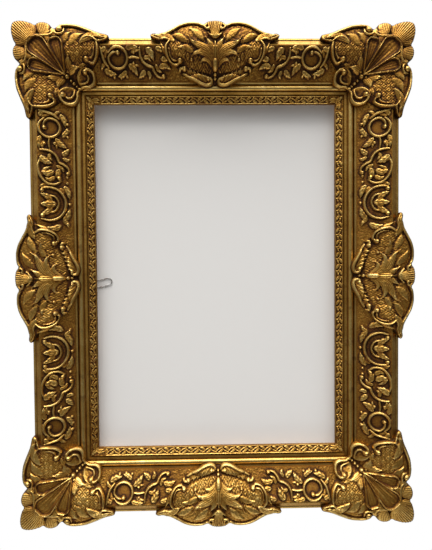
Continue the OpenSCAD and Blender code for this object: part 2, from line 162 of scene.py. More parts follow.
def near_line(board, line, reach):
    """Window of the board near a line, distance to it, share of its length and signed offset."""
    where = board.window(line, reach)
    x, y = board.x[where], board.y[where]
    best = np.full(x.shape, 1e9)
    share = np.zeros(x.shape)
    offset = np.zeros(x.shape)
    length = np.concatenate([[0], np.cumsum(np.hypot(*np.diff(line, axis=0).T))])
    for i in range(len(line) - 1):
        (px, py), (dx, dy) = line[i], line[i + 1] - line[i]
        size = math.hypot(dx, dy) + 1e-9
        f = np.clip(((x - px) * dx + (y - py) * dy) / size ** 2, 0, 1)
        gap = np.hypot(x - px - f * dx, y - py - f * dy)
        closer = gap < best
        best = np.where(closer, gap, best)
        share = np.where(closer, (length[i] + f * size) / length[-1], share)
        offset = np.where(closer, (dx * (y - py) - dy * (x - px)) / size, offset)
    return where, best, share, np.sign(offset) * best


def bump(x):
    """Rounded hill, 1 at x = 0 and 0 from x = 1 outward."""
    return np.sqrt(np.clip(1 - x * x, 0, None))


def fade(x, start, end):
    """0 before start, 1 after end, smooth in between."""
    f = np.clip((x - start) / (end - start), 0, 1)
    return f * f * (3 - 2 * f)


# %% [markdown]
# ## Strokes
# Four strokes follow a line or stand at a point: a rolled ridge, a ball, a lobed leaf and a
# feathered frond. Widths and heights are in millimetres.

# %% Ridge, ball, leaf and frond
def ridge(board, keys, width, height, taper=0.35, steps=8):
    """Rolled ridge along a line, thinner at its ends."""
    line = smooth_line(keys, steps)
    where, gap, share, _ = near_line(board, line, width + 1)
    body = 1 - taper * (1 - np.sin(math.pi * np.clip(share, 0.02, 0.98))) ** 2
    board.raise_to(where, height * body * bump(gap / (width * body)))


def ball(board, x, y, radius, height=None):
    """Ball eye that a scroll curls round, in a small hollow."""
    height = radius * 1.15 if height is None else height
    where = board.window(np.array([[x, y]]), radius * 1.7)
    gap = np.hypot(board.x[where] - x, board.y[where] - y) / radius
    board.r[where] -= 0.8 * np.exp(-((gap - 1.22) / 0.18) ** 2)
    board.raise_to(where, height * bump(gap))


def spiral(x, y, radius, start, end, shrink=1.0, n=14):
    """Key points of an arc whose radius shrinks steadily from its start to its end, in degrees."""
    a = np.radians(np.linspace(start, end, n))
    r = radius * np.linspace(1, shrink, n)
    return np.stack([x + r * np.cos(a), y + r * np.sin(a)], 1)


def leaf(board, keys, width, height, lobes=3):
    """Leaf along a line, with a middle vein and ribs that run out to the lobes of its edge."""
    line = smooth_line(keys, 6)
    where, gap, share, _ = near_line(board, line, width * 1.3 + 1)
    swell = np.sin(math.pi * np.clip(share, 0, 1) ** 0.75) ** 0.7
    pipe = np.abs(np.cos(math.pi * (lobes * share - 0.9 * gap / width))) ** 0.6
    edge = width * np.clip(swell, 0.05, 1) * (0.78 + 0.22 * pipe)
    f = gap / edge
    vein = 0.22 * np.exp(-(gap / 0.8) ** 2) * (1 - share * 0.6)
    shape = bump(f) ** 0.7 * (0.62 + 0.16 * pipe + 0.22 * share) - vein * (f < 1)
    board.raise_to(where, np.where(f < 1, height * shape, 0))


def frond(board, keys, width, height, pipes=5):
    """Bundle of thin pipes that open from a narrow foot and end in staggered tips."""
    line = smooth_line(keys, 6)
    where, _, share, offset = near_line(board, line, width + 1)
    edge = width * (0.22 + 0.78 * np.sin(math.pi * np.clip(share, 0, 1) ** 0.8) ** 0.8)
    f = np.abs(offset) / edge
    pipe = np.abs(np.cos(math.pi * pipes * offset / edge / 2)) ** 0.7
    tip = fade(1.02 - 0.42 * f - share, -0.02, 0.12 + 0.16 * (1 - pipe))
    shape = bump(f) ** 0.6 * (0.52 + 0.48 * pipe) * (0.75 + 0.25 * share) * tip
    board.raise_to(where, np.where(f < 1, height * shape, 0))


print("line strokes ready at", CARVE_STEP, "mm between points")

# %% [markdown]
# ## Strokes of the shell and of the ground
# Four more strokes make the shells and what lies between the ornaments: a ribbed shell lobe, a
# hollow petal, the diamond diaper with a drilled stud in each cell, and the punched ground.

# %% Shell lobe, petal, diaper and ground
def gadroon(board, keys, width, height, flutes=5):
    """Shell lobe with ribs along it, wider towards its rounded end."""
    line = smooth_line(keys, 6)
    where, _, share, offset = near_line(board, line, width + 1)
    edge = width * (0.55 + 0.45 * fade(share, 0, 0.8))
    f = np.clip(offset / edge, -1.2, 1.2)
    rib = 0.84 + 0.16 * np.cos(math.pi * flutes * f)
    shape = bump(np.abs(f)) ** 0.8 * rib
    board.raise_to(where, np.where(np.abs(f) < 1, height * shape, 0))


def petal(board, focus, angle, length, width, height, ribs=3):
    """Hollow petal of a shell: rolled border, scooped middle, fine ribs from the focus."""
    shoulder = 0.78
    a = math.radians(angle)
    x, y = board.x - focus[0], board.y - focus[1]
    s = (x * math.cos(a) + y * math.sin(a)) / length
    w = (-x * math.sin(a) + y * math.cos(a)) / width
    round_end = np.sqrt(np.clip(1 - (np.clip(s - shoulder, 0, 1) / 0.22) ** 2, 0, 1))
    edge = (0.1 + 0.9 * np.clip(s / shoulder, 0, 1) ** 0.8) * round_end
    f = np.abs(w) / np.maximum(edge, 1e-3)
    inside = (s > 0) & (f < 1) & (s < 1)
    end_gap = np.clip(1 - s, 0, 1) * length
    side_gap = (edge - np.abs(w)) * width
    rim_gap = np.minimum(end_gap, side_gap)
    rim = np.exp(-((rim_gap - 2.6) / 2.0) ** 2)
    scoop = 0.50 - 0.30 * bump(np.minimum(f, 1)) * fade(s, 0.2, 0.8)
    rib = 0.07 * np.cos(math.pi * ribs * 2 * np.clip(w / np.maximum(edge, 0.05), -1, 1)) * (1 - 0.8 * s)
    hub = 0.35 * (1 - fade(s, 0, 0.35))
    lift = height * np.maximum(scoop + rib + hub, rim) * fade(rim_gap, -0.6, 1.6)
    below = board.r * (1 - fade(rim_gap, -0.2, 1.4))
    board.r = np.where(inside, np.maximum(lift, below), board.r)


def diaper(board, mask, pitch, slant, height, origin=(0, 0), size=0.74):
    """Diamond lattice with a drilled diamond stud in every cell."""
    u = (board.x - origin[0]) / pitch
    v = (board.y - origin[1]) / slant
    p, q = u + v, u - v
    line = np.minimum(np.abs(p - np.round(p)), np.abs(q - np.round(q)))
    cell = np.maximum(np.abs(p - np.floor(p) - 0.5), np.abs(q - np.floor(q) - 0.5)) * 2
    lattice = 0.6 * bump(np.clip(line / 0.08, 0, 1))
    stud = bump(np.clip(cell / size, 0, 1)) ** 0.8
    hole = np.exp(-(cell / 0.19) ** 2)
    lift = height * (np.maximum(lattice, stud) - 1.3 * hole)
    board.r = np.where(mask > 0.5, np.maximum(board.r, lift), board.r)


def blur(field, size):
    """Field smoothed with a bell of the given size in points."""
    n = max(1, int(size * 3))
    bell = np.exp(-0.5 * (np.arange(-n, n + 1) / size) ** 2)
    bell /= bell.sum()
    out = np.pad(field, n, mode="edge")
    out = np.apply_along_axis(np.convolve, 0, out, bell, "same")
    out = np.apply_along_axis(np.convolve, 1, out, bell, "same")
    return out[n:-n, n:-n]


def punched(board, seed, size=0.9, depth=0.35):
    """Uneven punched ground: small pits and grains."""
    rng = np.random.default_rng(seed)
    grain = blur(rng.standard_normal(board.x.shape), size / board.step)
    grain /= grain.std() + 1e-9
    board.r += depth * np.clip(grain, -1.6, 1.6) * (1 - 0.7 * fade(board.r, 0.8, 3.0))


print("ground strokes ready, the punched ground is seeded")

# %% [markdown]
# ## From board to solid
# A grid primitive gets the heights of the board, is extruded down to the underside, and is then
# cut: once by the outline, like a biscuit cutter, and once by the shape of the moulding that it
# is glued to. How deep each point lies below its surroundings is kept in an attribute, because
# the dark toning of old gilding gathers in just those hollows.

# %% Turn a carved board into a closed solid
def only(obj):
    """Make obj the one selected and active object."""
    if bpy.context.object and bpy.context.object.mode != "OBJECT":
        bpy.ops.object.mode_set(mode="OBJECT")
    bpy.ops.object.select_all(action="DESELECT")
    obj.select_set(True)
    bpy.context.view_layer.objects.active = obj


def slab(name, board, top, underside):
    """Closed solid between the heights top and underside(x, y) over the whole board."""
    ny, nx = board.x.shape
    bpy.ops.object.select_all(action="DESELECT")
    bpy.ops.mesh.primitive_grid_add(x_subdivisions=nx - 1, y_subdivisions=ny - 1, size=1)
    obj = bpy.context.object
    obj.name = name
    co = np.stack([board.x.ravel(), board.y.ravel(), top.ravel()], 1)
    obj.data.vertices.foreach_set("co", co.ravel().astype(np.float32))
    bpy.ops.object.mode_set(mode="EDIT")
    bpy.ops.mesh.select_all(action="SELECT")
    bpy.ops.mesh.extrude_region()
    bpy.ops.object.mode_set(mode="OBJECT")
    n = len(obj.data.vertices)
    co = np.zeros(n * 3, np.float32)
    obj.data.vertices.foreach_get("co", co)
    co = co.reshape(-1, 3)
    picked = np.zeros(n, bool)
    obj.data.vertices.foreach_get("select", picked)
    co[picked, 2] = underside(co[picked, 0], co[picked, 1])
    obj.data.vertices.foreach_set("co", co.ravel())
    only(obj)
    bpy.ops.object.mode_set(mode="EDIT")
    bpy.ops.mesh.select_all(action="SELECT")
    bpy.ops.mesh.normals_make_consistent(inside=False)
    bpy.ops.object.mode_set(mode="OBJECT")
    return obj


def prism(name, outline, low, high):
    """Upright block over a closed outline, made from a filled circle with as many corners."""
    bpy.ops.object.select_all(action="DESELECT")
    bpy.ops.mesh.primitive_circle_add(vertices=len(outline), fill_type="NGON")
    obj = bpy.context.object
    obj.name = name
    for v, (x, y) in zip(obj.data.vertices, outline):
        v.co = (x, y, low)
    bpy.ops.object.mode_set(mode="EDIT")
    bpy.ops.mesh.select_all(action="SELECT")
    bpy.ops.mesh.extrude_region_move(TRANSFORM_OT_translate={"value": (0, 0, high - low)})
    bpy.ops.mesh.select_all(action="SELECT")
    bpy.ops.mesh.normals_make_consistent(inside=False)
    bpy.ops.object.mode_set(mode="OBJECT")
    return obj


def cut(obj, tool, how):
    """Boolean of obj by a tool."""
    only(obj)
    m = obj.modifiers.new("cut", "BOOLEAN")
    m.operation = how
    m.solver = "MANIFOLD"
    m.object = tool
    bpy.ops.object.modifier_apply(modifier=m.name)


def drop(*objs):
    """Remove tools and drawn solids that are used up."""
    for o in objs:
        mesh = o.data
        bpy.data.objects.remove(o)
        bpy.data.meshes.remove(mesh)


def sampled(board, field, x, y):
    """Value of a field of the board at any points."""
    fx = np.clip((x - board.xs[0]) / (board.xs[1] - board.xs[0]), 0, len(board.xs) - 1.001)
    fy = np.clip((y - board.ys[0]) / (board.ys[1] - board.ys[0]), 0, len(board.ys) - 1.001)
    i, j = fx.astype(int), fy.astype(int)
    a, b = fx - i, fy - j
    return ((field[j, i] * (1 - a) + field[j, i + 1] * a) * (1 - b)
            + (field[j + 1, i] * (1 - a) + field[j + 1, i + 1] * a) * b)


def hollows(board, top):
    """How far each point stands above its surroundings, from -1 in a hollow to 1 on a ridge."""
    fine = (top - blur(top, 2.2 / board.step)) / 0.9
    wide = (top - blur(top, 6.0 / board.step)) / 2.6
    return np.clip(0.6 * fine + 0.55 * wide, -1, 1)


def mark_hollows(obj, board, field):
    """Store the hollows on the vertices of obj."""
    n = len(obj.data.vertices)
    co = np.zeros(n * 3, np.float32)
    obj.data.vertices.foreach_get("co", co)
    co = co.reshape(-1, 3)
    value = sampled(board, field, co[:, 0], co[:, 1]).astype(np.float32)
    old = obj.data.attributes.get("relief")
    if old:
        obj.data.attributes.remove(old)
    made = obj.data.attributes.new("relief", "FLOAT", "POINT")
    made.data.foreach_set("value", value)


def finished(obj, name, place, node, material, angle=50):
    """Copy of a drawn solid at its place on the frame, riding on the body of its node."""
    mesh = obj.data.copy()
    mesh.transform(place)
    piece = bpy.data.objects.new(name, mesh)
    bpy.context.scene.collection.objects.link(piece)
    if place.determinant() < 0:
        mesh.flip_normals()
    only(piece)
    bpy.ops.object.shade_smooth_by_angle(angle=math.radians(angle))
    mesh.materials.clear()
    mesh.materials.append(material)
    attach(piece, "frame")
    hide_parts(node)
    return piece


print("solids can be cut from boards")

# %% [markdown]
# ## The body of the castings
# All castings share one swelling body. It rises from the beads to the crest and flares out over
# the outer edge. The underside is hollow beyond the rail, as cast ornament is.

# %% Body and bed of the castings
RELIEF = 9
BODY_IN = 26
BODY_LOW = 30.5 + RELIEF
BODY_TOP = CREST_H + RELIEF - 1
OVERHANG = 52
FLARE_DROP = 11
UNDER_H = 22
UNDER_SLOPE = 0.75
CUTTER_TOP = 120
SEAT_GAP = 0.02
shell_half = [
    (15, 26.5), (4, 26.5), (-5, 32), (-9, 43), (-7, 54), (-1, 61.5), (-8, 69.5), (-15.5, 80),
    (-18.5, 93), (-18.5, 105), (-23, 112.5), (-32, 115.5), (-37, 120), (-33, 126), (-14, 130.5),
    (5, 138.5), (25, 146), (46, 148.5), (61, 145.5), (71, 138.5), (80, 147), (92, 150.5), (102, 148.5),
    (108, 145), (118, 150.5), (134, 153.5), (144, 152)]
cartouche_half = [
    (9, 153.5), (17, 152), (22.5, 148), (31, 152), (45, 153.5), (57, 152), (70, 147.5), (82, 140.5),
    (97, 132), (111, 128), (123, 128.5), (127, 123), (117, 116.5), (107.5, 108), (105, 95), (98, 82),
    (87, 71), (77, 66), (70, 56), (59, 48.5), (49, 43.5), (38, 38), (27, 31.5), (17, 28.5), (8, 31)]
shell_line = smooth_line([(23, 23)] + shell_half + [(149, 149)] + [(y, x) for x, y in shell_half[::-1]],
                         6, closed=True)
cartouche_line = smooth_line([(0, 154)] + cartouche_half + [(0, 36)]
                             + [(-x, y) for x, y in cartouche_half[::-1]], 6, closed=True)


def body_height(u):
    """Height of the smooth body at a distance outward from the sight edge."""
    rise = np.clip((np.minimum(u, PANEL_OUT) - BODY_IN) / (PANEL_OUT - BODY_IN), 0, 1)
    inner = BODY_LOW + (BODY_TOP - BODY_LOW) * (0.5 - 0.5 * np.cos(math.pi * rise ** 0.9))
    outer = BODY_TOP - FLARE_DROP * (np.clip(u - PANEL_OUT, 0, None) / OVERHANG) ** 2
    return np.where(u < PANEL_OUT, inner, outer)


def under_height(u):
    """Height of the underside, which rises beyond the rail."""
    return np.where(u < RAIL_W, UNDER_H, UNDER_H + UNDER_SLOPE * (u - RAIL_W))


BED_GAP = 0.2
EDGE_H = CREST_H - 14
bed_line = [(-30, -10), (-30, PANEL_BASE + BED_GAP), (PANEL_IN - BED_GAP, PANEL_BASE + BED_GAP),
            (PANEL_OUT - BED_GAP, CREST_H + BED_GAP), (PANEL_OUT + 2 + BED_GAP, CREST_H + BED_GAP),
            (RAIL_W - 5.8, CREST_H - 8 + BED_GAP), (RAIL_W + BED_GAP, EDGE_H + 3 + BED_GAP),
            (RAIL_W + BED_GAP, -10)]


def bed(name, start, end):
    """Block with the shape of the moulding, from start to end along X."""
    obj = prism(name, bed_line, start, end)
    obj.data.transform(Matrix(((0, 0, 1, 0), (1, 0, 0, 0), (0, 1, 0, 0), (0, 0, 0, 1))))
    return obj


def inside_gap(board, outline):
    """Distance of every board point from the outline."""
    line = np.vstack([outline, outline[:1]])
    best = np.full(board.x.shape, 1e9)
    for (px, py), (qx, qy) in zip(line[:-1], line[1:]):
        dx, dy = qx - px, qy - py
        f = np.clip(((board.x - px) * dx + (board.y - py) * dy) / (dx * dx + dy * dy + 1e-9), 0, 1)
        best = np.minimum(best, np.hypot(board.x - px - f * dx, board.y - py - f * dy))
    return best


GROUND_SINK = 5.0
EDGE_ROUND = 3.4
FRONT_GAP = 0.3


def cast_height(board, u, gap, swell, soft):
    """Height of a carved casting: body, relief and swelling, rounded over at the outline."""
    edge = 1 - bump(np.clip(gap / EDGE_ROUND, 0, 1) - 1)
    height = body_height(u) - GROUND_SINK + board.r + swell - EDGE_ROUND * edge
    return np.minimum(blur(height, soft), FRONT_H - FRONT_GAP)


print("casting outlines", len(shell_line), "and", len(cartouche_line), "points")

# %% [markdown]
# ## The corner shell
# Three hollow petals open from a bud near the inner corner. On each side of them lies a field of
# diamond diaper held by a C scroll, two round lobes lie over the beads, and ribbed leaf lobes
# with a rolled rim make the outer edge. One half is carved and mirrored over the diagonal.

# %% Carve the corner shell
FOCUS = (51.5, 51.5)


def carve_corner():
    """Board and height of the corner shell, with a and b as the distances from the two sight edges."""
    board = Board(-39, 155, -39, 155)
    gap = inside_gap(board, shell_line)
    a, b = board.x, board.y

    # swelling forms under the carving: wing, scroll lobe and outer lobes
    swell = 2.6 * bump(np.hypot(a - 16, (b - 96) * 0.8) / 44) + 3.2 * bump(np.hypot(a - 10, b - 45) / 22)
    swell -= 3.0 * np.exp(-(np.hypot(a + 4, b - 64) / 9) ** 2)

    # the diaper field behind the wing
    field = (b > 64) & (b < 120) & (a < 55) & (a > -15.5)
    diaper(board, field, 16.7, 18.2, 1.8, origin=(25.4, 97.5), size=0.62)

    # leaves that fill the wing round the diaper
    frond(board, [(58, 106), (50, 120), (34, 132)], 9, 4.0, pipes=7)
    frond(board, [(38, 106), (28, 120), (10, 128)], 8, 3.4, pipes=7)
    frond(board, [(52, 58), (45, 70), (43, 88)], 8, 5.4)
    frond(board, [(50, 52), (36, 62), (20, 66)], 7.5, 5.2)
    leaf(board, [(24, 64), (16, 68), (10, 70)], 4, 3.6, lobes=2)

    # rolled rim of the outer edge, from its ball out to the wing tip
    rim = (a < 62) & (b > 119) & (gap < 12)
    slope = fade(a, -34, -6)
    roll = (2.2 + 3.2 * slope) * bump((gap - 3.6) / 3.4)
    board.r = np.where(rim, np.maximum(roll, board.r * fade(gap, 6, 9)), board.r)
    board.r -= 1.3 * np.exp(-((gap - 8.2) / 1.3) ** 2) * ((a < 54) & (b > 110) & (a > -10))
    ball(board, 59, 136.5, 6.8, 9.0)
    ridge(board, [(68, 134), (66, 128), (58, 126.5), (51, 130), (50, 137)], 2.8, 6.6)
    frond(board, [(18, 110), (4, 120), (-12, 124), (-24, 120), (-35, 121)], 8.0, 6.6)
    ridge(board, [(18, 108), (13, 117), (4, 121), (-6, 119), (-14, 113), (-24, 114.5), (-33, 118)], 2.0, 6.2)

    # scroll lobe over the beads, hollow inside a thick rolled rim
    lobe = np.hypot(a - 9.5, b - 45) / 19.5
    board.r = np.where(lobe < 1, np.maximum(3.4 * lobe ** 2 - 0.6, board.r * 0.2), board.r)
    ridge(board, [(25, 25), (17, 28.5), (6, 29), (-3, 34.5), (-6, 44), (-4, 54), (2.5, 59.5), (9, 60)],
          4.0, 7.6, taper=0.25)
    ridge(board, [(24, 35), (15, 36), (8, 40), (6, 47), (9, 52)], 2.4, 4.6)
    ball(board, 12, 55.5, 5.4, 8.0)

    # C scroll of the wing with its ball
    ridge(board, [(8, 79), (2, 73), (-5, 71.5), (-11.5, 79), (-14.5, 90), (-15, 101), (-13.5, 110)],
          2.9, 7.0, taper=0.3)
    ridge(board, [(3, 80), (-3, 82), (-7.5, 90), (-8, 101)], 1.5, 4.6)
    ball(board, 7.5, 78, 5.6, 8.4)

    # leaf lobes of the outer corner
    gadroon(board, [(81, 114), (88, 130), (93, 151)], 14, 7.4, flutes=8)
    gadroon(board, [(110, 112), (111, 130), (111, 147)], 9, 6.0, flutes=5)
    ridge(board, [(70, 134), (73, 127), (81, 123), (93, 122.5), (106, 124)], 3.2, 7.4)
    ridge(board, [(76, 133), (82, 128.5), (92, 127.5)], 2.0, 6.0)
    frond(board, [(67, 116), (72, 129), (74, 143)], 7, 6.6)

    board.r = np.where(b >= a, board.r, board.r.T)
    swell = np.where(b >= a, swell, swell.T)

    # tip lobe on the diagonal, the fan of petals and the beads
    gadroon(board, [(108, 108), (128, 128), (150, 150)], 25, 8.4, flutes=12)
    petal(board, FOCUS, 75, 72, 15.5, 9.0)
    petal(board, FOCUS, 15, 72, 15.5, 9.0)
    petal(board, FOCUS, 45, 92, 21.5, 10.5)
    for d, size in ((48.5, 5.0), (41.5, 3.2), (36.2, 3.8), (30.6, 3.0), (26.4, 3.4)):
        ball(board, d, d, size, size * 1.5 + 1.2)
    for x, y in ((56.5, 47), (47, 56.5)):
        ball(board, x, y, 3.0, 5.6)

    fan = np.abs(np.degrees(np.arctan2(b - FOCUS[1], a - FOCUS[0])) - 45)
    reach = np.hypot(a - FOCUS[0], b - FOCUS[1])
    swell *= 1 - (1 - fade(fan, 40, 50)) * fade(reach, 4, 14)
    punched(board, 11, depth=0.28)
    return board, cast_height(board, np.maximum(a, b), gap, swell, 0.85)


corner_board, corner_top = carve_corner()
corner_field = hollows(corner_board, corner_top)
print("corner board", corner_board.x.shape, "highest", round(float(corner_top.max()), 1), "mm")

# %% [markdown]
# ## The seat of the shell
# The carved board becomes a solid, is cut to its outline, and is then hollowed to sit on the
# moulding of both rails, which meet on the diagonal.

# %% Cut the corner shell to its outline and its seat
def cut_corner():
    solid = slab("corner_drawn", corner_board, corner_top,
                 lambda x, y: under_height(np.maximum(x, y)))
    outline = prism("corner_cutter", shell_line, 0, CUTTER_TOP)
    cut(solid, outline, "INTERSECT")
    seat = bed("corner_bed", -80, 260)
    half = prism("half_cutter", [(-80, -80), (260, 260), (-80, 260)], -60, 160)
    cut(seat, half, "INTERSECT")
    other = seat.copy()
    other.data = seat.data.copy()
    bpy.context.scene.collection.objects.link(other)
    other.data.transform(Matrix(((0, 1, 0, 0), (1, 0, 0, 0), (0, 0, 1, 0), (0, 0, 0, 1))))
    other.data.flip_normals()
    cut(solid, seat, "DIFFERENCE")
    cut(solid, other, "DIFFERENCE")
    drop(outline, seat, half, other)
    mark_hollows(solid, corner_board, corner_field)
    return solid


corner_solid = cut_corner()
print("corner shell", len(corner_solid.data.polygons), "faces")

# %% [markdown]
# ## The side cartouche
# The cartouche in the middle of each side has a rolled outer rim, a small ribbed shell at its
# crown, two C scrolls, a moustache rim over the beads and a spray of fronds over diaper.

# %% Carve the cartouche
def carve_cartouche():
    """Board and height of the cartouche, with t from its middle and u from the sight edge."""
    board = Board(-131, 131, 24, 158)
    gap = inside_gap(board, cartouche_line)
    t, u = np.abs(board.x), board.y

    # swelling forms: moustache lobes, wings and the two outer lobes
    swell = 4.6 * bump(np.hypot((t - 30) / 27, (u - 41) / 13))
    swell += 3.0 * bump(np.hypot((t - 82) / 24, (u - 88) / 26))
    swell += 3.4 * bump(np.hypot((t - 47) / 36, (u - 130) / 22))
    swell -= 2.5 * np.exp(-(np.hypot(t - 68, (u - 58)) / 9) ** 2)

    reach = 14 + 80 * np.clip((u - 54) / 50, 0, 1) ** 0.6
    field = (u > 56) & (u < 116) & (t < reach)
    diaper(board, field, 15.5, 27.2, 1.6, origin=(7.75, 70.6), size=0.60)

    # moustache lobes: pipes that fan out of a rolled rim
    for i in range(6):
        x, y = 10 + 8.6 * i, 35 + 2.9 * i
        frond(board, [(x, y), (x + 5, y + 8), (x + 10 - i, y + 19)], 6.0, 5.6 - 0.3 * i, pipes=3)
    ridge(board, [(63, 53.5), (54, 48), (42, 43), (30, 36.5), (18, 32.8), (9.5, 34.5), (6.6, 40), (9, 45)],
          3.8, 7.4, taper=0.2)
    ball(board, 13.5, 44.5, 4.4, 7.0)
    frond(board, [(62, 48), (74, 58), (84, 72)], 7.5, 5.0)

    # comma and C scroll
    ridge(board, [(59.5, 60), (66.5, 63), (71, 58), (68, 50.5)], 3.8, 7.6, taper=0.7)
    ball(board, 61.5, 62, 5.2, 8.2)
    ridge(board, [(69, 74), (76, 68.5), (86, 70.5), (93, 80), (96.5, 92), (96, 104), (89, 115)],
          2.9, 7.0)
    ridge(board, [(76, 76), (84, 77), (89.5, 86), (91, 98)], 1.5, 4.8)
    ball(board, 69.5, 75.5, 5.2, 8.2)
    frond(board, [(100, 80), (104, 96), (108, 113)], 6.0, 4.6)

    # spray of feathered fronds round a bud
    frond(board, [(2, 66), (8, 82), (22, 92), (40, 90), (50, 78)], 7.6, 6.2)
    ball(board, 47, 78, 3.2, 5.4)
    frond(board, [(3, 76), (14, 95), (30, 104), (46, 112), (54, 126)], 8.0, 6.4)
    frond(board, [(3, 62), (10, 74), (18, 79), (27, 76), (30, 66)], 4.6, 5.0, pipes=3)
    frond(board, [(2, 84), (8, 104), (20, 124)], 6.6, 5.8)
    frond(board, [(44, 92), (58, 101), (76, 100)], 5.6, 3.6)

    # two low leaves on the smooth outer lobe
    frond(board, [(24, 116), (36, 130), (54, 140)], 7.0, 2.6, pipes=7)
    frond(board, [(56, 112), (72, 122), (92, 125)], 7.0, 3.0, pipes=7)

    # rolled outer rim that thins toward the wing tip
    outer = (t > 15) & (u > 117) & (gap < 12)
    roll = (5.2 - 3.0 * fade(t, 84, 122)) * bump((gap - 3.6) / 3.3)
    board.r = np.where(outer, np.maximum(board.r * fade(gap, 6, 9), roll), board.r)
    board.r -= 1.4 * np.exp(-((gap - 8.0) / 1.3) ** 2) * ((t > 17) & (t < 88) & (u > 116))
    ridge(board, [(22, 147), (18, 139), (11, 137)], 2.6, 6.4)
    ball(board, 12, 139, 4.4, 7.4)
    frond(board, [(80, 113), (96, 122), (112, 123), (127, 126)], 7.4, 6.2)
    ridge(board, [(88, 113), (98, 117.5), (108, 116.5), (118, 119), (126, 123.5)], 2.0, 6.0)

    board.r = np.where(board.x < 0, board.r[:, ::-1], board.r)
    gadroon(board, [(0, 126), (0, 140), (0, 155)], 17, 8.4, flutes=8)
    ridge(board, [(-14, 130), (-8, 124), (0, 122), (8, 124), (14, 130)], 2.2, 6.2)
    ridge(board, [(0, 56), (0, 68), (0, 82)], 6.0, 8.8, taper=0.7)
    frond(board, [(0, 72), (0, 96), (0, 118)], 6.0, 7.6, pipes=3)
    ball(board, 0, 52, 3.8, 6.0)
    ball(board, 0, 45, 3.2, 5.2)

    punched(board, 23, depth=0.28)
    return board, cast_height(board, u, gap, swell, 0.8)


cartouche_board, cartouche_top = carve_cartouche()
cartouche_field = hollows(cartouche_board, cartouche_top)


def cut_cartouche():
    solid = slab("cartouche_drawn", cartouche_board, cartouche_top, lambda x, y: under_height(y))
    outline = prism("cartouche_cutter", cartouche_line, 0, CUTTER_TOP)
    seat = bed("cartouche_bed", -180, 180)
    cut(solid, outline, "INTERSECT")
    cut(solid, seat, "DIFFERENCE")
    drop(outline, seat)
    mark_hollows(solid, cartouche_board, cartouche_field)
    return solid


cartouche_solid = cut_cartouche()
print("cartouche", len(cartouche_solid.data.polygons), "faces")

# %% [markdown]
# ## The scroll panels
# Between the castings the sloping field of the rail carries running scrollwork on granular
# ground: a spiral ring next to the corner, a link bar, and C and S scrolls with leaves toward the
# middle. Each panel is one board that is cut where the castings lie over it.

# %% Carve the panels
CASTING_GAP = 0.3
PANEL_GROUND = 2.2
SCROLL = (2.9, 6.2)


def grown(line, by):
    """Closed outline pushed outward by a small distance."""
    step = np.roll(line, -1, 0) - np.roll(line, 1, 0)
    out = np.stack([step[:, 1], -step[:, 0]], 1)
    out /= np.hypot(out[:, 0], out[:, 1])[:, None] + 1e-9
    x, y = line[:, 0], line[:, 1]
    area = (x * np.roll(y, -1) - y * np.roll(x, -1)).sum()
    return line + out * by * (1 if area > 0 else -1)


def scroll_ring(board, x, y, radius, turn, hand):
    """Spiral ring with a hollow inside that curls in to a ball."""
    dish = np.hypot(board.x - x, board.y - y) / radius
    board.r = np.where(dish < 1, np.maximum(1.8 * dish ** 2 - 1.0, board.r * 0.3), board.r)
    keys = spiral(x, y, radius, turn, turn + hand * 330, shrink=0.86, n=12)
    keys = np.vstack([keys, spiral(x, y, radius * 0.80, turn + hand * 345, turn + hand * 425,
                                   shrink=0.6, n=5)])
    ridge(board, keys, *SCROLL, taper=0.35, steps=5)
    ball(board, keys[-1][0], keys[-1][1], 4.4, 7.0)


def scrolls(board, lines, width, height):
    """Ridges with the same section along several lines."""
    for keys in lines:
        ridge(board, keys, width, height, taper=0.4)


def leaves(board, rows):
    """Leaves from rows of key points, width and height."""
    for keys, width, height in rows:
        leaf(board, keys, width, height)


def berries(board, rows):
    """Small balls from rows of place and radius."""
    for x, y, radius in rows:
        ball(board, x, y, radius, radius * 1.5)


